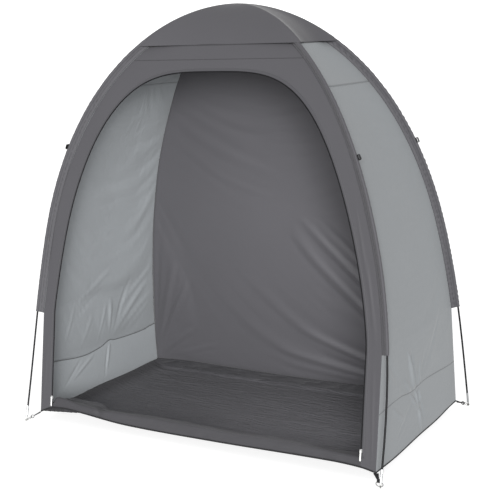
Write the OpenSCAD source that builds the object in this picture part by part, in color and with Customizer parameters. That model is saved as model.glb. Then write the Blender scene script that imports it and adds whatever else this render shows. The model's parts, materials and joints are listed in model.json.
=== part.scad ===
// Arched shelter tent on two crossed fibreglass poles, its door unzipped and dropped inside.
// Millimetres. X runs along the width, the doorway faces -Y and +Z points up.
// The origin is on the ground, under the point where the poles cross.

/* [Pole arches] */
// Height of the upper pole's centreline where the poles cross
height = 2100; // [1900:10:2300]
// Half distance between the pole feet along the width
foot_x = 1000; // [900:10:1100]
// Half distance between the pole feet from front to back
foot_y = 595; // [560:5:640]
// Height where the poles start to spread towards the front and the back
flare_top = 1000; // [800:20:1200]
// Angle between each arch and the width, seen from above
plan_angle = 24; // [21:1:27]
// Exponent that squares the shoulders of the arches
shoulder = 2.65; // [2.3:0.05:3]
// Exponent that rounds the top of the arches
crown = 1.9; // [1.7:0.05:2.1]
// Outer diameter of a pole section
pole_d = 9.5; // [8:0.5:11]
// Diameter of the hole through a pole section
pole_hole_d = 4; // [3.5:0.5:5]
// Diameter of the shock cord inside the poles
cord_d = 2.6; // [2:0.1:3]
// Length of the metal ferrule over each joint between sections
joint_ferrule_l = 50; // [40:5:60]
// Wall of the joint ferrules and the end ferrules
ferrule_wall = 0.9; // [0.7:0.1:1.2]

/* [Fabric shell] */
// Thickness of the fabric panels
fabric_t = 1.5; // [1:0.25:2]
// Distance from the poles' centreline to the fabric corner seams
seam_inset = 34; // [30:1:42]
// Height of the lower ends of the pole sleeves
sleeve_end = 560; // [480:10:640]
// Distance from the pole feet in to the hem, front and back
hem_inset = 65; // [50:5:80]
// Height of the hem above the ground
hem_z = 40; // [30:2:50]
// Height of the seam between the side wall skirts and the side walls
skirt_seam = 290; // [240:10:340]
// Height of the side walls' top strips, below the roof seam
strip_h = 200; // [155:5:230]
// Drop from the poles' crossing to the seam around the bottom of the roof
roof_drop = 185; // [150:5:220]
// Width of the hem binding
binding_w = 12; // [8:1:16]
// Thickness of the hem binding and the zip tape
tape_t = 0.8; // [0.6:0.1:1]

/* [Doorway] */
// Width of the front fabric between a leg of the doorway and the corner seam, at the hem
jamb_w = 73.8; // [72:0.2:120]
// Height where the legs of the doorway start to bend
door_spring = 576; // [565:5:700]
// Height of the front fabric between the doorway and the roof seam
head_h = 125; // [95:5:215]
// Height of the fabric strip below the doorway
sill_top = 95; // [80:5:110]
// Depth of the heap that the dropped door makes on the floor
heap_depth = 190; // [150:10:240]
// Height of that heap behind the sill
heap_h = 92; // [70:2:100]
// Width of the zip tape
zip_tape_w = 18; // [14:1:22]
// Width of the zip coil
coil_w = 5.5; // [4.5:0.5:6.5]
// Height of the zip coil above its tape
coil_h = 2.2; // [1.8:0.1:2.6]
// Length of a zip pull tab
pull_l = 46; // [36:1:56]

/* [Groundsheet] */
// Thickness of the groundsheet
sheet_t = 2; // [1.5:0.5:3]
// Width of the groundsheet's raised margin
margin_w = 40; // [34:1:44]

/* [Corner hardware] */
// Length of the ferrule on each pole end
tip_l = 56; // [50:1:64]
// Diameter of the pins in the pole ends
pin_d = 5; // [4:0.5:5.5]
// Height of each pin's eye above the ground
eye_z = 9; // [8.5:0.5:11]
// Middle radius of the corner rings
ring_r = 16; // [14:0.5:18]
// Diameter of the corner rings' wire
wire_d = 3.5; // [3:0.25:4]
// Width of the corner straps at their loops
strap_w = 9.5; // [8:0.5:10]
// Width of the corner straps at the fabric
strap_tail_w = 25; // [20:1:30]
// Thickness of the webbing
webbing_t = 1.5; // [1.2:0.1:2]
// Height of the guy-line loops
guy_z = 1425; // [1300:5:1500]
// Width of the guy-line loops
guy_w = 15; // [12:1:20]

/* [Hidden] */
$fn = 48;
// Clearances.
seat_gap = 0.3;
joint_gap = 0.4;
run_gap = 0.08;
ferrule_gap = 0.5;
sleeve_gap = 1.4;
roof_gap = 1.5;
cross_gap = 0.6;
cord_end = 2;

// Arch shape.
foot_r = foot_x / cos(plan_angle);
flare = foot_y - foot_x * tan(plan_angle);
foot_straight = 90;
flare_k = flare / (pow(flare_top, 2) - pow(foot_straight, 2));
foot_slope = 2 * flare_k * (flare_top - foot_straight);
foot_lean = atan(foot_slope);
pole_sections = 9;
path_steps = 120;
cross_drop = pole_d + cross_gap;
joint_od = pole_d + 2 * ferrule_gap + 2 * ferrule_wall;
sleeve_hole_r = joint_od / 2 + sleeve_gap;
sleeve_r = sleeve_hole_r + fabric_t;
roof_off = pole_d / 2 + roof_gap + 5;

// Seams and hem.
hem_y = foot_y - hem_inset;
roof_seam = height - roof_drop;
side_seam = roof_seam - strip_h;

// Doorway, zip and dropped door.
door_half = fabric_x(hem_z) - jamb_w;
door_top = roof_seam - head_h;
arch_top_bend = 1.31;
arch_side_bend = 3.45;
coil_edge = 4;
flat_x = fabric_x(hem_z) - margin_w;
flat_y = hem_y - margin_w;
margin_h = hem_z - sheet_t;
margin_len = norm([margin_w, margin_h]);
heap_z = sheet_t + seat_gap;
heap_y = flat_y - seat_gap;
heap_round = 1.5;
heap_x = door_half - 25;

// Zip slider, measured from the fabric along the slope of the front.
front_lean = atan((hem_y - fabric_y(sleeve_end)) / (sleeve_end - hem_z));
slider_z = 128;
slider_l = 15;
slider_wall = 2.4;
slider_floor = tape_t + seat_gap;
slider_roof = tape_t + coil_h + 0.5;
slider_top = slider_roof + 2;
channel_w = coil_w + 0.8;
hinge_n = slider_top + 2.8;
hinge_r = 1.1;
pull_w = 7;
pull_t = 1.6;
pull_eye_r = 2.4;

// Corner hardware.
tip_bore_r = pole_d / 2 + run_gap;
tip_r = pole_d / 2 + ferrule_wall;
tip_seat = 26;
collar_r = 6;
collar_t = 2.5;
eye_r = 6.5;
eye_hole_r = wire_d / 2 + 0.85;
eye_t = 3;
pin_neck = 10;
pin_in = 22;
loop_gap_r = 7;
loop_slack = 3.9;
guy_gap_r = 4;
guy_drop = 16;

// Half width and half depth of an arch offset outward by off, at height z.
function arch_r(z, off) =
    (foot_r + off) * pow(max(0, 1 - pow(min(1, z / (height + off)), shoulder)), 1 / crown);
function fabric_x(z) = arch_r(max(z, sleeve_end), -seam_inset) * cos(plan_angle);
function fabric_y(z) =
    z >= sleeve_end ? arch_r(z, -seam_inset) * sin(plan_angle) + flare_at(z)
    : hem_y + (fabric_y(sleeve_end) - hem_y) * (z - hem_z) / (sleeve_end - hem_z);

// Outward spread of the poles towards their feet.
function flare_at(z) =
    z >= flare_top ? 0
    : z >= foot_straight ? flare_k * pow(flare_top - z, 2)
    : flare_k * (flare_top - foot_straight) * (flare_top + foot_straight - 2 * z);

// Point on a pole for the angle t, from 0 at the foot to 90 at the crossing.
function pole_point(t, drop) =
    let (z = (height - drop) * sin(t),
         r = foot_r * pow(max(0, 1 - pow(sin(t), shoulder)), 1 / crown))
    [r * cos(plan_angle), r * sin(plan_angle) + flare_at(z), z];
function mirrored(p, s) = [s[0] * p[0], s[1] * p[1], p[2]];
// Point on a whole pole for u, from 0 at the first foot to 2 at the other.
function pole_at(u, s, drop) =
    u <= 1 ? mirrored(pole_point(90 * u, drop), s) : mirrored(pole_point(180 - 90 * u, drop), -s);

// Pole ends stop inside the end ferrules, above the partition.
axis_up = [0, -foot_slope, 1] / norm([foot_slope, 1]);
eye_y = hem_y_at_foot(eye_z);
function hem_y_at_foot(z) = foot_x * tan(plan_angle) + flare_at(z);
eye_point = [foot_x, eye_y, eye_z];
ferrule_start = eye_r + pin_neck + collar_t + seat_gap;
pole_start_z = eye_z + (ferrule_start + tip_l - tip_seat) * axis_up[2];
function u_start(drop) = asin(pole_start_z / (height - drop)) / 90;

// Table of [length from the first end, u] along a whole pole.
function u_step(i, drop) = u_start(drop) + (2 - 2 * u_start(drop)) * i / path_steps;
function arc_table(s, drop) = [
    for (i = 0, l = 0; i <= path_steps;
         l = l + norm(pole_at(u_step(i + 1, drop), s, drop) - pole_at(u_step(i, drop), s, drop)),
         i = i + 1)
        [l, u_step(i, drop)]];
function pole_length(s, drop) = arc_table(s, drop)[path_steps][0];
function path_through(s, drop, lengths) =
    let (table = arc_table(s, drop))
    [for (l = lengths) pole_at(lookup(l, table), s, drop)];

// Sweeping a section along a path that stays near the plane of its arch.
function unit(v) = v / norm(v);
function arch_side(s) = unit([-s[1] * sin(plan_angle), s[0] * cos(plan_angle), 0]);
function tangent(path, i) = unit(path[min(i + 1, len(path) - 1)] - path[max(i - 1, 0)]);
function section_at(p, a, b, shape) = [for (q = shape) p + a * q[0] + b * q[1]];
function swept_rings(path, side, shape) = [
    for (i = [0 : len(path) - 1])
        let (t = tangent(path, i), a = unit(cross(side, t)), b = cross(t, a))
        section_at(path[i], a, b, shape)];
function circle_points(r, n) = [for (i = [0 : n - 1]) [r * cos(360 * i / n), r * sin(360 * i / n)]];
function flat_list(rings) = [for (ring = rings) for (p = ring) p];
function side_faces(m, n, base, flip) = [
    for (i = [0 : m - 2]) for (j = [0 : n - 1])
        let (k = (j + 1) % n, a = base + i * n + j, b = base + i * n + k, c = b + n, d = a + n)
        flip ? [a, b, c, d] : [a, d, c, b]];

// Solid bar through a list of rings.
module rod(rings) {
    m = len(rings);
    n = len(rings[0]);
    start = [[for (j = [0 : n - 1]) j]];
    end = [[for (j = [n - 1 : -1 : 0]) (m - 1) * n + j]];
    polyhedron(flat_list(rings), concat(side_faces(m, n, 0, false), start, end));
}

// Tube between outer and inner rings with the same number of points.
module tube(outer, inner) {
    m = len(outer);
    n = len(outer[0]);
    h = m * n;
    start = [for (j = [0 : n - 1]) let (k = (j + 1) % n) [j, k, h + k, h + j]];
    e = (m - 1) * n;
    end = [for (j = [0 : n - 1]) let (k = (j + 1) % n) [h + e + j, h + e + k, e + k, e + j]];
    polyhedron(
        flat_list(concat(outer, inner)),
        concat(side_faces(m, n, 0, false), side_faces(m, n, h, true), start, end));
}

// Puts children at p with the local X, Y and Z axes along a, b and c.
module place(p, a, b, c) {
    multmatrix([
        [a[0], b[0], c[0], p[0]],
        [a[1], b[1], c[1], p[1]],
        [a[2], b[2], c[2], p[2]],
        [0, 0, 0, 1]])
        children();
}

// Shared heights of the fabric panels, so that their edges match.
function spaced(z0, z1, n) = [for (i = [1 : n]) z0 + (z1 - z0) * i / n];
wall_levels = concat(
    [hem_z, skirt_seam], [sleeve_end],
    spaced(sleeve_end, side_seam, 24), spaced(side_seam, roof_seam, 5));
function between(z0, z1) = [for (z = wall_levels) if (z >= z0 - 0.01 && z <= z1 + 0.01) z];
function reversed(list) = [for (i = [len(list) - 1 : -1 : 0]) list[i]];
function outline(pairs) = concat(pairs, reversed([for (p = pairs) [-p[0], p[1]]]));
function ribbon(pairs, t) = concat(pairs, reversed([for (p = pairs) [p[0] - t, p[1]]]));

// Extrusions of a drawing of X against Z, and of Y against Z.
module along_y(points) rotate([90, 0, 0]) linear_extrude(4 * foot_y, center = true) polygon(points);
module along_x(points) rotate([90, 0, 90]) linear_extrude(4 * foot_x, center = true) polygon(points);
function wide_rows(levels) = [for (z = levels) [fabric_x(z), z]];
function deep_rows(levels, off) = [for (z = levels) [fabric_y(z) + off, z]];

// Front or back panel between two heights, without openings.
module face_panel(levels, side) {
    intersection() {
        along_y(outline(wide_rows(levels)));
        scale([1, side, 1]) along_x(ribbon(deep_rows(levels, 0), fabric_t));
    }
}

// Side wall panel between two heights, kept inside the front and back panels.
module side_panel(z0, z1, side) {
    levels = between(z0, z1);
    color("darkgray")
    intersection() {
        scale([side, 1, 1]) along_y(ribbon(wide_rows(levels), fabric_t));
        along_x(outline(deep_rows(levels, -fabric_t - seat_gap)));
    }
}

// Half width of the doorway outline grown outward by off.
function door_x(z, off) =
    z <= door_spring ? door_half + off
    : (door_half + off) * pow(max(0, 1 - pow(
        min(1, (z - door_spring) / (door_top + off - door_spring)), arch_top_bend)), 1 / arch_side_bend);
function door_levels(z0, off) =
    let (rise = door_top + off - door_spring)
    concat([z0], [for (i = [0 : 24]) door_spring + rise * sin(90 * i / 24)]);
function door_outline(z0, off) = outline([for (z = door_levels(z0, off)) [door_x(z, off), z]]);

module roof_panel() {
    steps = 14;
    function top_rows(off, deep) =
        let (top = height + off, start = asin(roof_seam / top))
        [for (i = [0 : steps]) let (z = top * sin(start + (90 - start) * i / steps))
            [arch_r(z, off) * (deep ? sin(plan_angle) : cos(plan_angle)), z]];
    module cap(off) {
        intersection() {
            along_y(outline(top_rows(off, false)));
            along_x(outline(top_rows(off, true)));
        }
    }
    wall_x = fabric_x(roof_seam) - fabric_t;
    wall_y = fabric_y(roof_seam) - fabric_t;
    out_x = arch_r(roof_seam, roof_off) * cos(plan_angle);
    out_y = arch_r(roof_seam, roof_off) * sin(plan_angle);
    seam_t = asin(roof_seam / height);
    color("dimgray")
    difference() {
        union() {
            difference() {
                cap(roof_off + fabric_t);
                cap(roof_off);
            }
            // Seam allowance that closes the roof against the tops of the walls.
            difference() {
                translate([-out_x - fabric_t / 2, -out_y - fabric_t / 2, roof_seam + seat_gap])
                    cube([2 * out_x + fabric_t, 2 * out_y + fabric_t, fabric_t]);
                translate([-wall_x, -wall_y, roof_seam - 1])
                    cube([2 * wall_x, 2 * wall_y, fabric_t + 4]);
            }
        }
        // Passages for the poles.
        for (s = [[1, 1], [-1, -1], [1, -1], [-1, 1]]) {
            drop = s[0] == s[1] ? 0 : cross_drop;
            t = asin(roof_seam / (height - drop));
            a = mirrored(pole_point(t - 1, drop), s);
            b = mirrored(pole_point(t + 1, drop), s);
            side = arch_side(s);
            up = unit(b - a);
            place((a + b) / 2, cross(side, up), side, up)
                translate([0, 0, -30]) cylinder(r = joint_od / 2 + 1, h = 60);
        }
    }
}

module front_panel() {
    color("dimgray")
    difference() {
        face_panel(wall_levels, -1);
        along_y(door_outline(sill_top, 0));
    }
}

module back_panel() {
    color("dimgray") face_panel(wall_levels, 1);
}

module groundsheet() {
    flat = [[flat_x, 0], [flat_x + margin_w - fabric_t - seat_gap, margin_h]];
    deep = [[flat_y, 0], [flat_y + margin_w - fabric_t - seat_gap, margin_h]];
    function up(pairs, h) = [for (p = pairs) [p[0], p[1] + h]];
    function skin(pairs) = concat(pairs, reversed(up(pairs, sheet_t)));
    color("dimgray")
    union() {
        translate([-flat_x, -flat_y, 0]) cube([2 * flat_x, 2 * flat_y, sheet_t]);
        for (s = [-1, 1]) {
            intersection() {
                scale([s, 1, 1]) along_y(skin(flat));
                along_x(outline(concat([[flat_y - 0.01, -1]], [[deep[0][0], 0], deep[1]],
                    [[deep[1][0], hem_z]])));
            }
            intersection() {
                scale([1, s, 1]) along_x(skin(deep));
                along_y(outline(concat([[flat_x - 0.01, -1]], [[flat[0][0], 0], flat[1]],
                    [[flat[1][0], hem_z]])));
            }
        }
    }
}

module hem_binding() {
    levels = [hem_z, hem_z + binding_w];
    function grown(rows, off) = [for (p = rows) [p[0] + off, p[1]]];
    module block(off) {
        intersection() {
            along_y(outline(grown(wide_rows(levels), off)));
            along_x(outline(grown(deep_rows(levels, 0), off)));
        }
    }
    color("black")
    difference() {
        block(tape_t);
        intersection() {
            along_y(outline(wide_rows([hem_z - 1, hem_z + binding_w + 1])));
            along_x(outline(deep_rows([hem_z - 1, hem_z + binding_w + 1], 0)));
        }
    }
}

// Flat pocket along one corner seam, with the pole in its outer edge.
module sleeve(s) {
    drop = s[0] == s[1] ? 0 : cross_drop;
    levels = between(sleeve_end, roof_seam);
    round_angles = [for (i = [0 : 7]) -105 + 30 * i];
    back_angles = [130, 165, 195, 230];
    function ring_at(z, inner) =
        let (t = asin(z / (height - seam_inset)),
             p = mirrored(pole_point(t, drop), s),
             f = [s[0] * fabric_x(z), s[1] * fabric_y(z), z],
             reach = norm(p - f) - seat_gap,
             a = unit(p - f),
             b = arch_side(s),
             hole = [for (q = concat(round_angles, back_angles))
                 [sleeve_hole_r * cos(q), sleeve_hole_r * sin(q)]],
             skin = concat(
                 [for (q = round_angles) [sleeve_r * cos(q), sleeve_r * sin(q)]],
                 [[-reach * 0.6, fabric_t * 2], [-reach, fabric_t], [-reach, -fabric_t],
                  [-reach * 0.6, -fabric_t * 2]]))
        section_at(p, a, b, inner ? hole : skin);
    color("dimgray")
    intersection() {
        tube([for (z = levels) ring_at(z, false)], [for (z = levels) ring_at(z, true)]);
        translate([-2 * foot_x, -2 * foot_y, 0]) cube([4 * foot_x, 4 * foot_y, roof_seam]);
    }
}

// Lengths along a pole where the section from first to last bends, clear of its ferrules.
function bends(first, last) = [
    for (k = [0 : 5]) first + joint_ferrule_l / 2 + (last - first - joint_ferrule_l) * k / 5];

// One section of a pole, counted from its front end.
module pole_section(s, drop, i) {
    l = pole_length(s, drop) / pole_sections;
    first = (i - 1) * l + (i > 1 ? joint_gap / 2 : 0);
    last = i * l - (i < pole_sections ? joint_gap / 2 : 0);
    path = path_through(s, drop, concat([first], bends(first, last), [last]));
    color("black")
    tube(swept_rings(path, arch_side(s), circle_points(pole_d / 2, 12)),
        swept_rings(path, arch_side(s), circle_points(pole_hole_d / 2, 12)));
}

// Metal tubes that carry the joints between the sections, bent with the pole.
module pole_ferrules(s, drop) {
    l = pole_length(s, drop) / pole_sections;
    reach = joint_ferrule_l / 2;
    color("silver")
    for (i = [1 : pole_sections - 1]) {
        path = path_through(s, drop, [i * l - reach, i * l, i * l + reach]);
        tube(swept_rings(path, arch_side(s), circle_points(joint_od / 2, 12)),
            swept_rings(path, arch_side(s), circle_points(joint_od / 2 - ferrule_wall, 12)));
    }
}

module shock_cord(s, drop) {
    l = pole_length(s, drop) / pole_sections;
    joints = [for (i = [1 : pole_sections - 1]) each concat([i * l], bends(i * l, (i + 1) * l))];
    path = path_through(s, drop, concat([cord_end], bends(0, l), joints, [pole_sections * l - cord_end]));
    color("white") rod(swept_rings(path, arch_side(s), circle_points(cord_d / 2, 6)));
}

// Frame of a pole foot: X stays level, Z climbs along the pole end.
module at_foot(s) {
    mirror([s[0] < 0 ? 1 : 0, 0, 0])
        mirror([0, s[1] < 0 ? 1 : 0, 0])
            place(eye_point, [1, 0, 0], cross(axis_up, [1, 0, 0]), axis_up)
                children();
}

module pole_tips() {
    color("silver")
    for (s = corners) at_foot(s) translate([0, 0, ferrule_start])
        difference() {
            cylinder(r = tip_r, h = tip_l);
            translate([0, 0, tip_l - tip_seat]) cylinder(r = tip_bore_r, h = tip_seat + 1);
            translate([0, 0, -1]) cylinder(r = pin_d / 2 + run_gap, h = pin_in + 2);
        }
}

// Line from a pin's eye to the fabric corner, followed by its ring and strap.
corner_point = [fabric_x(hem_z), hem_y, hem_z];
tie_line = unit(corner_point - eye_point);
tie_side = unit(cross(axis_up, tie_line));
tie_up = cross(tie_line, tie_side);
corners = [[-1, -1], [1, -1], [1, 1], [-1, 1]];

module at_corner(s) {
    mirror([s[0] < 0 ? 1 : 0, 0, 0])
        mirror([0, s[1] < 0 ? 1 : 0, 0])
            place(eye_point, tie_line, tie_side, tie_up)
                children();
}

module corner_pin(s) {
    color("silver")
    at_foot(s) difference() {
        union() {
            place([0, 0, 0], [1, 0, 0], [0, 1, 0], [0, 0, 1])
                translate([0, 0, eye_r - 1]) cylinder(d = pin_d, h = ferrule_start + pin_in - eye_r + 1);
            translate([0, 0, ferrule_start - seat_gap - collar_t]) cylinder(r = collar_r, h = collar_t);
            eye_disc(eye_r, eye_t);
        }
        eye_disc(eye_hole_r, eye_t + 2);
    }
}

// Disc whose axis runs along the ring's wire where it passes the eye.
module eye_disc(r, t) {
    a = [dot(tie_side, [1, 0, 0]), dot(tie_side, cross(axis_up, [1, 0, 0])), 0];
    rotate([0, 0, atan2(a[1], a[0])]) rotate([0, 90, 0]) cylinder(r = r, h = t, center = true);
}
function dot(a, b) = a[0] * b[0] + a[1] * b[1] + a[2] * b[2];

module corner_ring(s) {
    color("silver")
    at_corner(s) translate([ring_r, 0, 0])
        rotate_extrude() translate([ring_r, 0]) circle(d = wire_d);
}

// Webbing folded round the ring, its tails widening to where they are sewn to the fabric corner.
module corner_strap(s) {
    tail_end = norm(corner_point - eye_point) - fabric_t;
    loop_x = 2 * ring_r + loop_slack;
    tail_x = loop_x + loop_gap_r;
    color("black")
    at_corner(s) union() {
        translate([0, strap_w / 2, 0]) rotate([90, 0, 0]) linear_extrude(strap_w)
            difference() {
                translate([loop_x, 0]) circle(r = loop_gap_r + webbing_t);
                translate([loop_x, 0]) circle(r = loop_gap_r);
            }
        translate([0, 0, -webbing_t]) linear_extrude(2 * webbing_t)
            polygon([[tail_x, -strap_w / 2], [tail_end, -strap_tail_w / 2],
                [tail_end, strap_tail_w / 2], [tail_x, strap_w / 2]]);
    }
}

// Door lying in folds behind the sill, thick at the sill and thin towards the middle of the floor.
module door_panel() {
    steps = 12;
    top = [for (i = [0 : steps]) let (a = 1 - cos(90 * i / steps))
        [heap_y - heap_depth * a, heap_z + heap_h * pow(1 - pow(a, heap_round), 1 / heap_round)]];
    color("dimgray")
    scale([1, -1, 1]) rotate([90, 0, 90]) linear_extrude(2 * heap_x, center = true)
        polygon(concat([[heap_y, heap_z]], top));
}

// Band along the doorway's edge, lying on the outside of the front panel.
module door_band(low, inner, outer, lift, t) {
    levels = concat([low], between(skirt_seam, roof_seam));
    intersection() {
        difference() {
            along_y(door_outline(low, outer));
            along_y(door_outline(low - 5, inner));
        }
        scale([1, -1, 1]) along_x(ribbon(deep_rows(levels, lift + t), t));
    }
}

module door_zip_tape() {
    color("lightgray") door_band(sill_top, -coil_edge, zip_tape_w - coil_edge, 0, tape_t);
}

module door_zip_coil() {
    color("black") door_band(sill_top, -coil_edge, coil_w - coil_edge, tape_t, coil_h);
}

// Frame of a zip slider: X along the width, Y out of the fabric, Z up the slope.
module at_slider(side) {
    mirror([side < 0 ? 1 : 0, 0, 0])
        translate([door_half - coil_edge + coil_w / 2, -fabric_y(slider_z), slider_z])
            rotate([-front_lean, 0, 0]) rotate([0, 0, 180])
                children();
}

module zip_slider(side) {
    w = channel_w + 2 * slider_wall;
    color("lightgray")
    at_slider(side) union() {
        difference() {
            translate([-w / 2, slider_floor, -slider_l / 2])
                cube([w, slider_top - slider_floor, slider_l]);
            translate([-channel_w / 2, slider_floor - 1, -slider_l])
                cube([channel_w, slider_roof - slider_floor + 1, 2 * slider_l]);
        }
        for (x = [-pull_w / 2 - 1.6, pull_w / 2 + 0.3])
            translate([x, slider_top - 0.5, -2.2]) cube([1.3, hinge_n - slider_top + 1.8, 4.4]);
        translate([-pull_w / 2 - 1, hinge_n, 0]) rotate([0, 90, 0])
            cylinder(r = hinge_r, h = pull_w + 2);
    }
}

module zip_pull(side) {
    color("white")
    at_slider(side) translate([0, hinge_n, 0]) difference() {
        union() {
            rotate([0, 90, 0]) cylinder(r = pull_eye_r, h = pull_w, center = true);
            translate([-pull_w / 2, -pull_t / 2, -pull_l + pull_w / 2])
                cube([pull_w, pull_t, pull_l - pull_w / 2]);
            translate([0, 0, -pull_l + pull_w / 2]) rotate([90, 0, 0])
                cylinder(d = pull_w, h = pull_t, center = true);
        }
        rotate([0, 90, 0]) cylinder(r = hinge_r + run_gap, h = pull_w + 2, center = true);
    }
}

// Webbing loops on the outer edges of the sleeves, standing along each sleeve's slope.
module guy_loops() {
    loop_r = guy_gap_r + webbing_t;
    color("black")
    for (s = corners) {
        drop = s[0] == s[1] ? 0 : cross_drop;
        t = asin(guy_z / height);
        rise = pole_point(t + 1, drop) - pole_point(t - 1, drop);
        up = unit([rise[0], 0, rise[2]]);
        out = [up[2], 0, -up[0]];
        mirror([s[0] < 0 ? 1 : 0, 0, 0])
            mirror([0, s[1] < 0 ? 1 : 0, 0])
                place(pole_point(t, drop) + out * (sleeve_r + seat_gap + loop_r), out, [0, 1, 0], up)
                    rotate([90, 0, 0]) linear_extrude(guy_w, center = true) difference() {
                        loop_shape(loop_r);
                        loop_shape(guy_gap_r);
                    }
    }
}

module loop_shape(r) {
    circle(r = r);
    translate([0, -guy_drop]) circle(r = r);
    translate([-r, -guy_drop]) square([2 * r, guy_drop]);
}

front_left = [-1, -1];
front_right = [1, -1];
back_right = [1, 1];
back_left = [-1, 1];

roof_panel();
front_panel();
back_panel();
side_panel(side_seam, roof_seam, -1);  // left_wall_top
side_panel(skirt_seam, side_seam, -1);  // left_wall_middle
side_panel(hem_z, skirt_seam, -1);  // left_wall_skirt
side_panel(side_seam, roof_seam, 1);  // right_wall_top
side_panel(skirt_seam, side_seam, 1);  // right_wall_middle
side_panel(hem_z, skirt_seam, 1);  // right_wall_skirt
groundsheet();
hem_binding();
sleeve(front_left);  // sleeve_front_left
sleeve(front_right);  // sleeve_front_right
sleeve(back_right);  // sleeve_back_right
sleeve(back_left);  // sleeve_back_left
pole_section(front_left, 0, 1);  // pole_a_section_1
pole_section(front_left, 0, 2);  // pole_a_section_2
pole_section(front_left, 0, 3);  // pole_a_section_3
pole_section(front_left, 0, 4);  // pole_a_section_4
pole_section(front_left, 0, 5);  // pole_a_section_5
pole_section(front_left, 0, 6);  // pole_a_section_6
pole_section(front_left, 0, 7);  // pole_a_section_7
pole_section(front_left, 0, 8);  // pole_a_section_8
pole_section(front_left, 0, 9);  // pole_a_section_9
pole_section(front_right, cross_drop, 1);  // pole_b_section_1
pole_section(front_right, cross_drop, 2);  // pole_b_section_2
pole_section(front_right, cross_drop, 3);  // pole_b_section_3
pole_section(front_right, cross_drop, 4);  // pole_b_section_4
pole_section(front_right, cross_drop, 5);  // pole_b_section_5
pole_section(front_right, cross_drop, 6);  // pole_b_section_6
pole_section(front_right, cross_drop, 7);  // pole_b_section_7
pole_section(front_right, cross_drop, 8);  // pole_b_section_8
pole_section(front_right, cross_drop, 9);  // pole_b_section_9
pole_ferrules(front_left, 0);  // pole_a_ferrules
pole_ferrules(front_right, cross_drop);  // pole_b_ferrules
shock_cord(front_left, 0);  // pole_a_shock_cord
shock_cord(front_right, cross_drop);  // pole_b_shock_cord
pole_tips();
corner_pin(front_left);  // pin_front_left
corner_pin(front_right);  // pin_front_right
corner_pin(back_right);  // pin_back_right
corner_pin(back_left);  // pin_back_left
corner_ring(front_left);  // ring_front_left
corner_ring(front_right);  // ring_front_right
corner_ring(back_right);  // ring_back_right
corner_ring(back_left);  // ring_back_left
corner_strap(front_left);  // strap_front_left
corner_strap(front_right);  // strap_front_right
corner_strap(back_right);  // strap_back_right
corner_strap(back_left);  // strap_back_left
door_panel();
door_zip_tape();
door_zip_coil();
zip_slider(-1);  // zip_slider_left
zip_slider(1);  // zip_slider_right
zip_pull(-1);  // zip_pull_left
zip_pull(1);  // zip_pull_right
guy_loops();
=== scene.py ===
import json
import math

import bpy
from bpy.props import FloatProperty, FloatVectorProperty, PointerProperty
from bpy.types import Operator, Panel, PropertyGroup
from mathutils import Matrix, Vector, noise


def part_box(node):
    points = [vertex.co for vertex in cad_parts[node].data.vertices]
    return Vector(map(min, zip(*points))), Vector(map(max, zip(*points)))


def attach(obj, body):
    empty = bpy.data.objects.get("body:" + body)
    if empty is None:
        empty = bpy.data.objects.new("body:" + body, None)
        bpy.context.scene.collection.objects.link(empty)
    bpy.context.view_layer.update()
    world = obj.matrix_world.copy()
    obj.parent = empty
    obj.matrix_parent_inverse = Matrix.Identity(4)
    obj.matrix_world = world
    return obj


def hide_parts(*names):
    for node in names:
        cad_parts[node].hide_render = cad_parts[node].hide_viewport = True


bl_info = {
    "name": "Shelter tent on crossed poles",
    "version": (1, 0, 0),
    "blender": (4, 5, 0),
    "location": "3D View > Sidebar > Tent",
    "description": "Fabric shell, door, groundsheet and finishes of an arched shelter tent",
    "category": "Object",
}

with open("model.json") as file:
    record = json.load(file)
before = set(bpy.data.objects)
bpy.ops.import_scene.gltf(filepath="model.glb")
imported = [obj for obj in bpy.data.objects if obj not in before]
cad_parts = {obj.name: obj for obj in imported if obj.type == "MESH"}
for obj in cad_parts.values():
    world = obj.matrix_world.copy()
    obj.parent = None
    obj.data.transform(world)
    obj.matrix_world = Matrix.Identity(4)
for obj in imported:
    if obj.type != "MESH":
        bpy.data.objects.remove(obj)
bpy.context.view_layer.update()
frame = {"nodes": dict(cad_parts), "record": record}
HEM_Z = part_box("back_panel")[0].z
ROOF_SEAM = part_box("back_panel")[1].z
HEM_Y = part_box("back_panel")[1].y
SIDE_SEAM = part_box("left_wall_top")[0].z
SKIRT_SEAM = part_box("left_wall_skirt")[1].z
HEAP_LOW, HEAP_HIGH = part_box("door_panel")
SEWN_EDGE = 0.001
PLEAT_WIDTH = 0.050
CORNERS = {
    "front_left": (-1, -1),
    "front_right": (1, -1),
    "back_right": (1, 1),
    "back_left": (-1, 1),
}


# Sizes and colours.


def length(name, description, default):
    return FloatProperty(
        name=name, description=description, default=default, min=0.0, subtype="DISTANCE", unit="LENGTH"
    )


def colour(name, description, default):
    return FloatVectorProperty(
        name=name, description=description, default=default, min=0.0, max=1.0, size=3, subtype="COLOR"
    )


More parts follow.
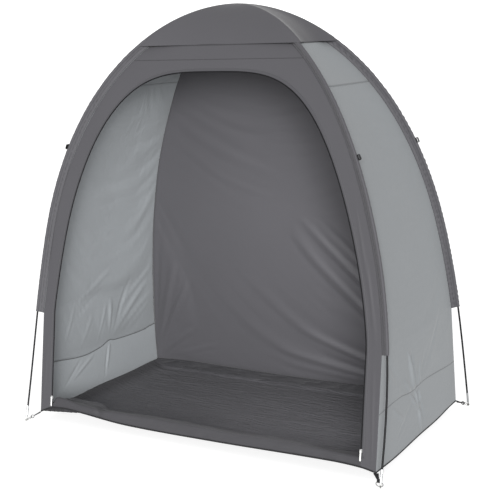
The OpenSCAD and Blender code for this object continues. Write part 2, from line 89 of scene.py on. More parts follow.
class TentSizes(PropertyGroup):
    """Sizes of the poles' arches and of the fabric shell between them."""

    height: length("Height", "Height of the upper pole where the poles cross", 2.1)
    foot_x: length("Half width", "Half distance between the pole feet along the width", 1.0)
    foot_y: length("Half depth", "Half distance between the pole feet from front to back", 0.595)
    flare_top: length("Spread height", "Height where the poles start to spread towards their feet", 1.0)
    foot_straight: length("Straight foot", "Height of the straight lower ends of the poles", 0.09)
    plan_angle: FloatProperty(
        name="Plan angle",
        description="Angle between an arch and the width",
        default=math.radians(24),
        unit="ROTATION",
    )
    shoulder: FloatProperty(name="Shoulder", description="Exponent that squares the shoulders", default=2.65)
    crown: FloatProperty(name="Crown", description="Exponent that rounds the top", default=1.9)
    seam_inset: length("Seam inset", "Distance from the poles to the corner seams", 0.034)
    sleeve_end: length("Sleeve end", "Height of the sleeves' lower ends", 0.56)
    cross_drop: length("Crossing drop", "Drop of the lower pole under the upper one", 0.0101)
    roof_off: length("Roof clearance", "Distance from the poles' axes to the roof over them", 0.0090)
    door_half: length("Door half width", "Half width of the doorway", 0.879)
    door_spring: length("Door spring", "Height where the doorway starts to bend", 0.576)
    door_top: length("Door top", "Height of the top of the doorway", 1.79)
    sill_top: length("Sill top", "Height of the fabric strip below the doorway", 0.095)
    fabric: length("Fabric", "Thickness of the fabric as drawn", 0.0006)
    tape: length("Zip tape", "Width of the zip tape", 0.018)
    coil: length("Zip coil", "Width of the zip coil", 0.0055)


class TentColours(PropertyGroup):
    """Base colours of the finishes."""

    dark: colour("Dark fabric", "Roof, front, back, sleeves and door", (0.062, 0.0605, 0.067))
    light: colour("Light fabric", "Side walls", (0.205, 0.2175, 0.227))
    ground: colour("Groundsheet", "Woven polyethylene", (0.062, 0.061, 0.067))
    webbing: colour("Webbing", "Straps, binding and loops", (0.012, 0.012, 0.013))
    pole: colour("Poles", "Fibreglass", (0.010, 0.010, 0.011))
    tape: colour("Zip tape", "Woven tape along the doorway", (0.055, 0.054, 0.060))


class Shell:
    """Where the poles and the fabric run, worked out from the sizes in the panel."""

    arch_top_bend = 1.31
    arch_side_bend = 3.45

    def __init__(self, sizes):
        self.s = sizes
        self.cos = math.cos(sizes.plan_angle)
        self.sin = math.sin(sizes.plan_angle)
        self.foot_r = sizes.foot_x / self.cos
        spread = sizes.foot_y - sizes.foot_x * math.tan(sizes.plan_angle)
        self.flare_k = spread / (sizes.flare_top**2 - sizes.foot_straight**2)

    def flare(self, z):
        top, low = self.s.flare_top, self.s.foot_straight
        if z >= top:
            return 0.0
        if z >= low:
            return self.flare_k * (top - z) ** 2
        return self.flare_k * (top - low) * (top + low - 2 * z)

    def arch(self, z, off):
        s = self.s
        rise = min(1.0, max(0.0, z) / (s.height + off))
        return (self.foot_r + off) * max(0.0, 1 - rise**s.shoulder) ** (1 / s.crown)

    def half_width(self, z):
        return self.arch(max(z, self.s.sleeve_end), -self.s.seam_inset) * self.cos

    def half_depth(self, z):
        s = self.s
        if z >= s.sleeve_end:
            return self.arch(z, -s.seam_inset) * self.sin + self.flare(z)
        top = self.half_depth(s.sleeve_end)
        return HEM_Y + (top - HEM_Y) * (z - HEM_Z) / (s.sleeve_end - HEM_Z)

    def pole(self, t, drop):
        """Point on a pole at the angle t, from 0 on the ground to a quarter turn at the crossing."""
        s = self.s
        r = self.foot_r * max(0.0, 1 - math.sin(t) ** s.shoulder) ** (1 / s.crown)
        z = (s.height - drop) * math.sin(t)
        return Vector((r * self.cos, r * self.sin + self.flare(z), z))

    def front(self, x, z, lift=0.0):
        """Point on the front panel. Its cloth is softly waved, and flat beside the zip's straight legs."""
        wave = min(1.0, 0.3 + z) * 0.0035 * ripple(3 * x, 2.2 * z, 1.3) + fold_height(FRONT_FOLDS, x, z)
        beside = min(1.0, 1.7 * math.exp(-(((abs(x) - self.s.door_half) / 0.025) ** 2)))
        zipped = beside * clamp((0.68 - z) / 0.08)
        return Vector((x, -self.half_depth(z) - wave * (1 - zipped) - lift, z))

    def side(self, side, y, z, lift=0.0):
        """Point on a side wall. The left one draws in towards its back seam."""
        wide, deep = self.half_width(z), self.half_depth(z)
        share = clamp(0.5 + 0.5 * y / deep)
        return Vector((side * (wide + lift - draw_in(side, z) * share**2.6), y, z))

    def ground(self, x, y):
        """Height of the groundsheet, lifted along its edges to meet the hem."""
        wide, deep = self.half_width(HEM_Z) - 0.003, self.half_depth(HEM_Z) - 0.003
        hem = SIDE_HEM if abs(x) / wide > abs(y) / deep else BACK_HEM if y > 0 else FRONT_HEM
        run = 0.32 if y < 0 else 0.05
        sides = max(0.0, 1 - (wide - abs(x)) / 0.13) ** 1.8
        ends = max(0.0, 1 - (deep - abs(y)) / run) ** 1.2
        return max(sides, ends) * (along(hem, y if hem is SIDE_HEM else x) + 0.003)

    def door_x(self, z, off=0.0):
        s = self.s
        if z <= s.door_spring:
            return s.door_half + off
        t = min(1.0, (z - s.door_spring) / (s.door_top + off - s.door_spring))
        return (s.door_half + off) * max(0.0, 1 - t**self.arch_top_bend) ** (1 / self.arch_side_bend)

    def door_z(self, x, off=0.0):
        s = self.s
        t = max(0.0, 1 - (abs(x) / (s.door_half + off)) ** self.arch_side_bend) ** (1 / self.arch_top_bend)
        return s.door_spring + (s.door_top + off - s.door_spring) * t


def shell():
    return Shell(bpy.context.scene.tent_sizes)


# Curves through a few chosen points, and folds in cloth.


def clamp(share):
    return min(1.0, max(0.0, share))


def along(knots, x):
    """Smooth curve through (x, value) pairs in order of x. Each knot's slope follows its neighbours."""
    if x <= knots[0][0]:
        return knots[0][1]
    if x >= knots[-1][0]:
        return knots[-1][1]
    i = max(k for k in range(len(knots) - 1) if knots[k][0] <= x)
    slopes = []
    for k in (i, i + 1):
        (xa, va), (xb, vb) = knots[max(0, k - 1)], knots[min(len(knots) - 1, k + 1)]
        slopes.append((vb - va) / (xb - xa))
    (x0, v0), (x1, v1) = knots[i], knots[i + 1]
    t, span = (x - x0) / (x1 - x0), x1 - x0
    return (
        v0 * (1 + 2 * t) * (1 - t) ** 2
        + v1 * t * t * (3 - 2 * t)
        + slopes[0] * span * t * (1 - t) ** 2
        - slopes[1] * span * t * t * (1 - t)
    )


def draw_in(side, z):
    return along(BACK_WRAP, z) if side < 0 else 0.0


def fold_height(folds, x, z):
    """Sum of the ridges at (x, z), each highest at its middle and wider towards its end."""
    total = 0.0
    for x0, z0, x1, z1, high, wide in folds:
        dx, dz = x1 - x0, z1 - z0
        span = math.hypot(dx, dz)
        t = ((x - x0) * dx + (z - z0) * dz) / span**2
        if t < 0 or t > 1:
            continue
        off = ((x - x0) * dz - (z - z0) * dx) / span / (wide * (0.35 + 0.65 * t))
        if abs(off) < 3:
            ridge = (1 - 0.6 * off * off) * math.exp(-off * off)
            total += high * ridge * math.sin(math.pi * t) ** 0.7
    return total


def ripple(x, y, z):
    return noise.noise(Vector((x, y, z)))


# Making and finishing pieces.


def select_only(*pieces):
    bpy.ops.object.select_all(action="DESELECT")
    for piece in pieces:
        piece.select_set(True)
    bpy.context.view_layer.objects.active = pieces[0]


def add_cloth(name, cols, rows, place, size):
    """A grid laid out by place(u, v), with a UV map in metres across its flat size."""
    bpy.ops.object.select_all(action="DESELECT")
    bpy.ops.mesh.primitive_grid_add(x_subdivisions=cols, y_subdivisions=rows, size=1.0)
    piece = bpy.context.object
    piece.name = piece.data.name = name
    spots = [(clamp(v.co.x + 0.5), clamp(v.co.y + 0.5)) for v in piece.data.vertices]
    for vertex, (u, v) in zip(piece.data.vertices, spots):
        vertex.co = place(u, v)
    for corner in piece.data.uv_layers[0].uv:
        corner.vector = (corner.vector[0] * size[0], corner.vector[1] * size[1])
    piece["spots"] = [value for spot in spots for value in spot]
    return piece


def spots_of(piece):
    flat = list(piece["spots"])
    return list(zip(flat[0::2], flat[1::2]))


def pattern_size(cut):
    """(width, length) and area of a flat cut before it is sewn in, from its pattern cut(u, v)."""
    steps = 40
    grid = [[cut(i / steps, k / steps) for i in range(steps + 1)] for k in range(steps + 1)]
    width = max(sum((b - a).length for a, b in zip(row, row[1:])) for row in grid)
    columns = list(zip(*grid))
    length = max(sum((b - a).length for a, b in zip(column, column[1:])) for column in columns)
    area = 0.0
    for low, high in zip(grid, grid[1:]):
        for a, b, c, d in zip(low, low[1:], high[1:], high):
            area += 0.5 * (c - a).cross(d - b).length
    return (width, length), area


def settle(piece, cut, frames):
    """Lets cloth that is sewn down all round find its folds. cut(u, v) is its flat pattern in place."""
    spots = spots_of(piece)
    del piece["spots"]
    select_only(piece)
    group = piece.vertex_groups.new(name="sewn")
    for i, (u, v) in enumerate(spots):
        if min(u, 1 - u, v, 1 - v) < SEWN_EDGE:
            group.add([i], 1.0, "REPLACE")
    piece.shape_key_add(name="Basis")
    pattern = piece.shape_key_add(name="cut")
    for i, (u, v) in enumerate(spots):
        pattern.data[i].co = cut(u, v)
    cloth = piece.modifiers.new("Cloth", "CLOTH")
    settings = cloth.settings
    settings.quality = 5
    settings.mass = 0.05
    settings.tension_stiffness = settings.compression_stiffness = 30.0
    settings.shear_stiffness = 15.0
    settings.bending_stiffness = 0.02
    settings.air_damping = 2.0
    settings.vertex_group_mass = "sewn"
    settings.rest_shape_key = pattern
    settings.effector_weights.gravity = 0.4
    cloth.collision_settings.use_collision = False
    cloth.point_cache.frame_start = 1
    cloth.point_cache.frame_end = frames
    scene = bpy.context.scene
    for number in range(1, frames + 1):
        scene.frame_set(number)
    settled = piece.evaluated_get(bpy.context.evaluated_depsgraph_get()).to_mesh()
    places = [v.co.copy() for v in settled.vertices]
    piece.to_mesh_clear()
    piece.modifiers.remove(cloth)
    piece.shape_key_clear()
    piece.vertex_groups.clear()
    for vertex, spot in zip(piece.data.vertices, places):
        vertex.co = spot
    scene.frame_set(1)


def finish_cloth(piece, thick, smooth=1, offset=0.0, press=None):
    """Smooths cloth, presses the creases of press(spot) into it and gives it its thickness."""
    if "spots" in piece:
        del piece["spots"]
    select_only(piece)
    if smooth:
        soften = piece.modifiers.new("Soften", "SUBSURF")
        soften.levels = soften.render_levels = smooth
        soften.boundary_smooth = "PRESERVE_CORNERS"
        bpy.ops.object.modifier_apply(modifier=soften.name)
    if press:
        for vertex in piece.data.vertices:
            vertex.co += press(vertex.co)
    wall = piece.modifiers.new("Thickness", "SOLIDIFY")
    wall.thickness = thick
    wall.offset = offset
    bpy.ops.object.modifier_apply(modifier=wall.name)
    bpy.ops.object.shade_smooth()
    return piece


def hand_over(piece, material, body, *nodes, slot=None):
    """Gives a piece its body and, unless it has its own, its material, and hides the solids it stands for."""
    if material:
        piece.data.materials.clear()
        piece.data.materials.append(material)
    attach(piece, body)
    if nodes:
        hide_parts(*nodes)


# Materials.


def socket_group(name, inputs, outputs):
    group = bpy.data.node_groups.new(name, "ShaderNodeTree")
    for label, kind, value in inputs:
        socket = group.interface.new_socket(name=label, in_out="INPUT", socket_type=kind)
        if value is not None:
            socket.default_value = value
    for label, kind in outputs:
        group.interface.new_socket(name=label, in_out="OUTPUT", socket_type=kind)
    return group, group.nodes.new("NodeGroupInput"), group.nodes.new("NodeGroupOutput")


def math_node(tree, operation, a, b=None):
    node = tree.nodes.new("ShaderNodeMath")
    node.operation = operation
    for socket, value in zip(node.inputs, (a, b)):
        if value is None:
            continue
        if isinstance(value, (int, float)):
            socket.default_value = value
        else:
            tree.links.new(value, socket)
    return node.outputs[0]


def noise_node(tree, vector, scale, detail, rough=0.55):
    node = tree.nodes.new("ShaderNodeTexNoise")
    node.inputs["Detail"].default_value = detail
    node.inputs["Roughness"].default_value = rough
    if isinstance(scale, (int, float)):
        node.inputs["Scale"].default_value = scale
    else:
        tree.links.new(scale, node.inputs["Scale"])
    tree.links.new(vector, node.inputs["Vector"])
    return node.outputs["Fac"]


def weave_group():
    """Threads of a plain weave and the soft creases of cloth that was packed, as one height."""
    name = "tent_cloth"
    if name in bpy.data.node_groups:
        return bpy.data.node_groups[name]
    group, given, result = socket_group(
        name,
        [
            ("UV", "NodeSocketVector", None),
            ("Object", "NodeSocketVector", None),
            ("Thread", "NodeSocketFloat", 0.0009),
            ("Crease Scale", "NodeSocketFloat", 14.0),
            ("Crease Depth", "NodeSocketFloat", 0.001),
            ("Base", "NodeSocketColor", (0.2, 0.2, 0.2, 1)),
            ("Variation", "NodeSocketFloat", 0.08),
        ],
        [("Height", "NodeSocketFloat"), ("Colour", "NodeSocketColor"), ("Roughness", "NodeSocketFloat")],
    )
    split = group.nodes.new("ShaderNodeSeparateXYZ")
    group.links.new(given.outputs["UV"], split.inputs[0])
    threads = []
    for axis in range(2):
        turns = math_node(group, "DIVIDE", split.outputs[axis], given.outputs["Thread"])
        threads.append(math_node(group, "SINE", math_node(group, "MULTIPLY", turns, math.tau)))
    weave = math_node(group, "MULTIPLY", math_node(group, "MULTIPLY", *threads), 0.00004)
    broad = noise_node(group, given.outputs["Object"], given.outputs["Crease Scale"], 4.0, 0.5)
    ridge = math_node(group, "ABSOLUTE", math_node(group, "SUBTRACT", broad, 0.5))
    soft_ridge = math_node(group, "POWER", ridge, 0.8)
    crease = math_node(group, "MULTIPLY", soft_ridge, given.outputs["Crease Depth"])
    group.links.new(math_node(group, "ADD", weave, crease), result.inputs["Height"])
    shade = noise_node(group, given.outputs["Object"], 3.2, 3.0)
    mix = group.nodes.new("ShaderNodeHueSaturation")
    group.links.new(given.outputs["Base"], mix.inputs["Color"])
    centred = math_node(group, "SUBTRACT", shade, 0.5)
    swing = math_node(group, "MULTIPLY", centred, given.outputs["Variation"])
    group.links.new(math_node(group, "ADD", swing, 1.0), mix.inputs["Value"])
    group.links.new(mix.outputs["Color"], result.inputs["Colour"])
    uneven = math_node(group, "ADD", math_node(group, "MULTIPLY", swing, 0.8), 0.62)
    group.links.new(uneven, result.inputs["Roughness"])
    return group


def new_material(name):
    material = bpy.data.materials.new(name)
    material.use_nodes = True
    material.node_tree.nodes.clear()
    shader = material.node_tree.nodes.new("ShaderNodeBsdfPrincipled")
    out = material.node_tree.nodes.new("ShaderNodeOutputMaterial")
    material.node_tree.links.new(shader.outputs[0], out.inputs[0])
    return material, material.node_tree, shader


def cloth_material(
    name,
    base,
    thread=0.0009,
    crease_scale=14.0,
    crease=0.001,
    sheen=0.15,
    variation=0.08,
    spread=(1.0, 1.0, 1.0),
):
    """Woven cloth. spread stretches its creases along each axis."""
    if name in bpy.data.materials:
        return bpy.data.materials[name]
    material, tree, shader = new_material(name)
    where = tree.nodes.new("ShaderNodeTexCoord")
    cloth = tree.nodes.new("ShaderNodeGroup")
    cloth.node_tree = weave_group()
    tree.links.new(where.outputs["UV"], cloth.inputs["UV"])
    stretch = tree.nodes.new("ShaderNodeMapping")
    stretch.inputs["Scale"].default_value = spread
    tree.links.new(where.outputs["Object"], stretch.inputs["Vector"])
    tree.links.new(stretch.outputs["Vector"], cloth.inputs["Object"])
    cloth.inputs["Thread"].default_value = thread
    cloth.inputs["Crease Scale"].default_value = crease_scale
    cloth.inputs["Crease Depth"].default_value = crease
    cloth.inputs["Base"].default_value = (*base, 1)
    cloth.inputs["Variation"].default_value = variation
    bump = tree.nodes.new("ShaderNodeBump")
    bump.inputs["Distance"].default_value = 1.0
    bump.inputs["Strength"].default_value = 1.0
    tree.links.new(cloth.outputs["Height"], bump.inputs["Height"])
    tree.links.new(cloth.outputs["Colour"], shader.inputs["Base Color"])
    tree.links.new(cloth.outputs["Roughness"], shader.inputs["Roughness"])
    tree.links.new(bump.outputs["Normal"], shader.inputs["Normal"])
    shader.inputs["Sheen Weight"].default_value = sheen
    shader.inputs["Sheen Roughness"].default_value = 0.5
    shader.inputs["Specular IOR Level"].default_value = 0.35
    return material


def hard_material(name, base, metallic, roughness, grain=400.0, wear=0.12, gloss=0.5):
    """Metal or plastic with fine grain and uneven gloss."""
    if name in bpy.data.materials:
        return bpy.data.materials[name]
    material, tree, shader = new_material(name)
    where = tree.nodes.new("ShaderNodeTexCoord")
    fine = noise_node(tree, where.outputs["Object"], grain, 2.0)
    patches = noise_node(tree, where.outputs["Object"], 60.0, 3.0)
    hue = tree.nodes.new("ShaderNodeHueSaturation")
    hue.inputs["Color"].default_value = (*base, 1)
    shift = math_node(tree, "MULTIPLY", math_node(tree, "SUBTRACT", patches, 0.5), wear * 2)
    tree.links.new(math_node(tree, "ADD", shift, 1.0), hue.inputs["Value"])
    tree.links.new(hue.outputs["Color"], shader.inputs["Base Color"])
    uneven = math_node(tree, "ADD", math_node(tree, "MULTIPLY", shift, 0.6), roughness)
    tree.links.new(uneven, shader.inputs["Roughness"])
    shader.inputs["Metallic"].default_value = metallic
    shader.inputs["Specular IOR Level"].default_value = gloss
    bump = tree.nodes.new("ShaderNodeBump")
    bump.inputs["Distance"].default_value = 1.0
    bump.inputs["Strength"].default_value = 1.0
    tree.links.new(math_node(tree, "MULTIPLY", fine, 0.00002), bump.inputs["Height"])
    tree.links.new(bump.outputs["Normal"], shader.inputs["Normal"])
    return material


def colours():
    return bpy.context.scene.tent_colours


def dark_cloth():
    return cloth_material("dark_polyester", colours().dark)


def light_cloth():
    return cloth_material("pale_polyester", colours().light)


# Painted light: the pale cloth drawn 1.15 times brighter, used for the left skirt only, so that skirt looks
# more lit than the wall above it.
def coated_cloth():
    return cloth_material("pale_coated_polyester", tuple(1.15 * c for c in colours().light))


def ground_cloth():
    """Woven sheet, creased across the tent's width, with painted shade: its margin is darker where it turns
    up to meet the walls.
    """
    name = "woven_groundsheet"
    if name in bpy.data.materials:
        return bpy.data.materials[name]
    base = colours().ground
    material = cloth_material(
        name,
        base,
        thread=0.003,
        crease_scale=9.0,
        crease=0.020,
        sheen=0.05,
        variation=0.35,
        spread=(0.6, 2.7, 1.0),
    )
    tree = material.node_tree
    where = tree.nodes.new("ShaderNodeTexCoord")
    split = tree.nodes.new("ShaderNodeSeparateXYZ")
    tree.links.new(where.outputs["Object"], split.inputs[0])
    # Painted shade: the margin is mixed down to half the sheet's colour as it rises from 4 to 20 mm towards
    # the walls.
    rise = tree.nodes.new("ShaderNodeMapRange")
    rise.inputs["From Min"].default_value = 0.004
    rise.inputs["From Max"].default_value = 0.020
    tree.links.new(split.outputs["Z"], rise.inputs["Value"])
    tint = tree.nodes.new("ShaderNodeMix")
    tint.data_type = "RGBA"
    tint.inputs["A"].default_value = (*base, 1)
    tint.inputs["B"].default_value = (*(0.50 * c for c in base), 1)
    tree.links.new(rise.outputs["Result"], tint.inputs["Factor"])
    cloth = next(node for node in tree.nodes if node.type == "GROUP")
    tree.links.new(tint.outputs["Result"], cloth.inputs["Base"])
    return material


# Painted shade: the dark fabric drawn at 0.72 of its colour for the dropped door and the sill, so they look
# as shaded as the floor beside them.
def door_cloth():
    base = tuple(0.72 * c for c in colours().dark)
    return cloth_material(
        "loose_dark_polyester",
        base,
        crease_scale=9.0,
        crease=0.006,
        sheen=0.08,
        variation=0.30,
        spread=(0.6, 2.5, 2.5),
    )


def webbing():
    base = colours().webbing
    return cloth_material("black_webbing", base, thread=0.0016, crease_scale=40.0, crease=0.0002, sheen=0.0)


def tape_cloth():
    return cloth_material("grey_zip_tape", colours().tape, thread=0.0008, crease_scale=40.0, crease=0.0001)


def pale_seam(shade=0.68):
    tint = tuple(shade * c for c in colours().light)
    return cloth_material("pale_seam_" + str(round(100 * shade)), tint, crease_scale=60.0, crease=0.0003)


def seam_cloth():
    tint = tuple(0.55 * c for c in colours().dark)
    return cloth_material("dark_seam", tint, crease_scale=60.0, crease=0.0003)


# The pieces.

# Each fold is where it starts, where it ends, its height and its half width. A place is (across, up),
# where across is x on the front and back and y on the side walls. A fold's height counts outwards on the
# front and inwards on the other walls. The creases of the right wall and its skirt count outwards.
FRONT_FOLDS = [
    (0.905, 0.05, 0.885, 0.42, 0.0022, 0.008),
    (0.93, 0.05, 0.915, 0.50, 0.0025, 0.009),
    (0.893, 0.10, 0.90, 0.62, -0.0020, 0.008),
    (-0.905, 0.06, -0.90, 0.40, 0.0020, 0.008),
    (-0.935, 0.05, -0.92, 0.45, 0.0020, 0.009),
    (0.86, 0.98, 0.92, 0.60, 0.0025, 0.012),
    (0.80, 1.20, 0.89, 0.78, 0.0025, 0.012),
]
BACK_FOLDS = [
    (-0.93, 0.06, -0.70, 0.70, 0.0075, 0.030),
    (-0.93, 0.06, -0.61, 0.60, 0.0065, 0.026),
    (-0.93, 0.08, -0.77, 0.95, -0.0060, 0.026),
    (-0.93, 0.05, -0.63, 0.28, 0.0060, 0.022),
    (-0.92, 0.05, -0.45, 0.20, 0.0040, 0.022),
    (-0.93, 0.10, -0.84, 0.80, 0.0045, 0.018),
    (0.93, 0.06, 0.02, 0.95, 0.0065, 0.040),
    (0.93, 0.22, 0.10, 1.02, 0.0100, 0.034),
    (0.93, 0.34, 0.22, 1.02, -0.0070, 0.030),
    (0.93, 0.05, 0.05, 0.36, 0.0065, 0.024),
    (0.92, 0.05, -0.12, 0.22, 0.0080, 0.022),
    (0.90, 0.05, -0.02, 0.13, 0.0060, 0.015),
    (0.92, 0.05, 0.20, 0.21, -0.0060, 0.020),
    (0.92, 0.06, 0.42, 0.60, -0.0060, 0.030),
    (0.60, 0.05, 0.05, 0.06, 0.0050, 0.012),
    (0.10, 0.04, 0.55, 0.10, -0.0040, 0.012),
]
LEFT_FOLDS = [
    (-0.20, 0.53, 0.10, 0.70, 0.0070, 0.018),
    (-0.22, 0.46, 0.04, 0.60, -0.0055, 0.015),
    (0.18, 0.45, 0.45, 0.66, 0.0070, 0.020),
    (0.08, 0.28, 0.40, 0.56, 0.0110, 0.020),
    (0.10, 0.27, 0.47, 0.50, 0.0070, 0.016),
    (0.08, 0.27, 0.26, 0.62, -0.0085, 0.017),
    (0.06, 0.26, 0.10, 0.52, 0.0100, 0.018),
    (-0.05, 0.25, 0.06, 0.50, 0.0075, 0.015),
    (-0.20, 0.26, -0.06, 0.46, 0.0065, 0.017),
    (0.20, 0.27, 0.44, 0.44, 0.0065, 0.015),
    (-0.34, 0.28, -0.16, 0.62, 0.0050, 0.018),
]
LEFT_SKIRT_FOLDS = [
    (-0.26, 0.13, -0.06, 0.23, 0.006, 0.015),
    (0.04, 0.10, 0.08, 0.27, 0.008, 0.014),
    (0.02, 0.06, 0.07, 0.26, -0.006, 0.012),
    (-0.34, 0.10, -0.16, 0.24, -0.005, 0.014),
]
RIGHT_FOLDS = [
    (-0.02, 0.29, -0.11, 0.48, 0.018, 0.015),
    (0.00, 0.29, 0.09, 0.44, 0.009, 0.018),
    (-0.46, 0.60, -0.20, 0.30, 0.007, 0.030),
    (0.30, 0.60, 0.05, 0.30, 0.007, 0.022),
]
RIGHT_SKIRT_FOLDS = [
    (-0.05, 0.29, 0.00, 0.14, 0.015, 0.012),
    (-0.02, 0.22, 0.05, 0.05, 0.015, 0.012),
    (0.01, 0.27, 0.03, 0.12, -0.011, 0.010),
    (-0.03, 0.10, 0.00, 0.28, 0.008, 0.010),
    (-0.30, 0.10, -0.06, 0.25, 0.004, 0.018),
]
# Sharper creases, pressed in where the tent was folded.
RIGHT_CREASES = [
    (-0.150, 0.500, -0.060, 0.285, 0.015, 0.024),
    (-0.112, 0.450, -0.025, 0.285, -0.009, 0.020),
    (-0.190, 0.370, -0.100, 0.285, 0.007, 0.018),
    (0.020, 0.430, 0.000, 0.285, 0.006, 0.020),
]
RIGHT_SKIRT_CREASES = [
    (-0.072, 0.310, 0.040, 0.060, 0.016, 0.023),
    (-0.030, 0.300, 0.060, 0.100, -0.011, 0.020),
    (-0.130, 0.290, -0.030, 0.180, 0.009, 0.018),
    (-0.340, 0.280, -0.180, 0.160, 0.005, 0.020),
]
# Height of the wavy skirt seams from front to back, left and right.
LEFT_SEAM = [
    (-0.5, 0.282), (-0.396, 0.276), (-0.16, 0.243), (0.0, 0.252),
    (0.078, 0.274), (0.13, 0.264), (0.366, 0.257), (0.52, 0.276),
]
RIGHT_SEAM = [
    (-0.5, 0.297), (-0.25, 0.302), (-0.1, 0.285), (0.05, 0.294),
    (0.2, 0.286), (0.43, 0.268), (0.52, 0.27),
]
# Height of the hem on each side, along x or y.
FRONT_HEM = [
    (-0.95, 0.042), (-0.89, 0.068), (-0.79, 0.077), (-0.69, 0.071), (-0.41, 0.05),
    (0.1, 0.049), (0.73, 0.058), (0.88, 0.052), (0.95, 0.04),
]
BACK_HEM = [(-0.95, 0.04), (-0.7, 0.05), (-0.1, 0.043), (0.5, 0.05), (0.8, 0.046), (0.95, 0.04)]
SIDE_HEM = [(-0.53, 0.04), (-0.3, 0.031), (0.0, 0.034), (0.25, 0.032), (0.42, 0.04), (0.53, 0.04)]
# How far the left wall's back seam lies in from the corner, by height.
BACK_WRAP = [
    (0.04, 0.021), (0.16, 0.0275), (0.35, 0.0435), (0.55, 0.0665), (0.75, 0.0775), (1.0, 0.081), (1.2, 0.078),
    (1.5, 0.077), (1.6, 0.073), (1.76, 0.060), (1.92, 0.052),
]
# How far back the dropped door lies along its width, and how high, as shares of its solid's size.
HEAP_REACH = [
    (-0.88, 0.95), (-0.72, 0.92), (-0.63, 0.78), (-0.57, 0.42), (-0.45, 0.50), (-0.15, 0.62), (0.15, 0.50),
    (0.42, 0.66), (0.66, 0.48), (0.88, 0.60),
]
HEAP_HEIGHT = [
    (-0.88, 1.10), (-0.80, 1.06), (-0.64, 1.02), (-0.575, 0.88), (-0.50, 0.97), (-0.10, 1.0), (0.20, 0.94),
    (0.50, 1.02), (0.70, 0.95), (0.88, 1.02),
]
# How far the loose edge of the sill stands above its seam along the width.
SILL_CURL = [
    (-0.872, 0.0), (-0.866, 0.026), (-0.85, 0.033), (-0.80, 0.030), (-0.74, 0.018),
    (-0.66, 0.012), (-0.60, 0.006), (-0.575, -0.004), (-0.54, 0.005), (-0.10, 0.008),
    (0.20, 0.003), (0.50, 0.009), (0.70, 0.004), (0.868, 0.0),
]


def heap_top(x, d):
    """Height of the dropped door's top at the distance d behind the sill."""
    depth, high = HEAP_HIGH.y - HEAP_LOW.y, HEAP_HIGH.z - HEAP_LOW.z
    end = depth * (along(HEAP_REACH, x) + 0.10 * ripple(8 * x, 1.7, 6.0))
    share = min(1.0, max(0.0, d) / end)
    body = high * along(HEAP_HEIGHT, x) * (1 - share**3.2) ** 0.75
    turns = d / PLEAT_WIDTH + 1.2 * ripple(1.5 * x, 1.0, 4.4)
    pleat = math.sin(math.tau * turns) * (0.5 + ripple(2 * x, 9 * d, 8.8))
    wave = 0.0032 * pleat + 0.006 * ripple(3.4 * x, 16 * d, 5.0) + 0.003 * ripple(14 * x, 40 * d, 1.0) - 0.003
    return HEAP_LOW.z + body + wave * min(1.0, 8 * (1 - share)) * min(1.0, 0.35 + 14 * d)


class TENT_OT_back_wall(Operator):
    """Build the back wall, one dark sheet between the corner seams"""

    bl_idname = "tent.back_wall"
    bl_label = "Back wall"

    def execute(self, context):
        form = shell()

        def place(u, v):
            x = (2 * u - 1) * form.half_width(HEM_Z)
            low = along(BACK_HEM, x)
            z = low + (ROOF_SEAM - low) * v
            wide = form.half_width(z)
            x = -wide + draw_in(-1, z) + (2 * wide - draw_in(-1, z)) * u
            y = form.half_depth(z)
            inside = min(1.0, 12 * u, 12 * (1 - u), 10 * v, 10 * (1 - v))
            soft = 0.006 * ripple(1.7 * x, 1.3 * z, 3.1) + 1.8 * fold_height(BACK_FOLDS, x, z)
            return Vector((x, y - inside * soft, z))

        def cut(u, v):
            spot = place(u, v)
            return Vector((spot.x * 1.004, spot.y, HEM_Z + (spot.z - HEM_Z) * 1.003))

        def press(spot):
            above_hem = clamp((spot.z - 0.05) / 0.03)
            return Vector((0, -0.45 * fold_height(BACK_FOLDS, spot.x, spot.z) * above_hem, 0))

        piece = add_cloth("back_wall", 150, 150, place, (1.905, 1.98))
        settle(piece, cut, frames=14)
        finish_cloth(piece, context.scene.tent_sizes.fabric, smooth=0, press=press)
        hand_over(piece, dark_cloth(), "tent", "back_panel", slot="fabric_dark")
        return {"FINISHED"}


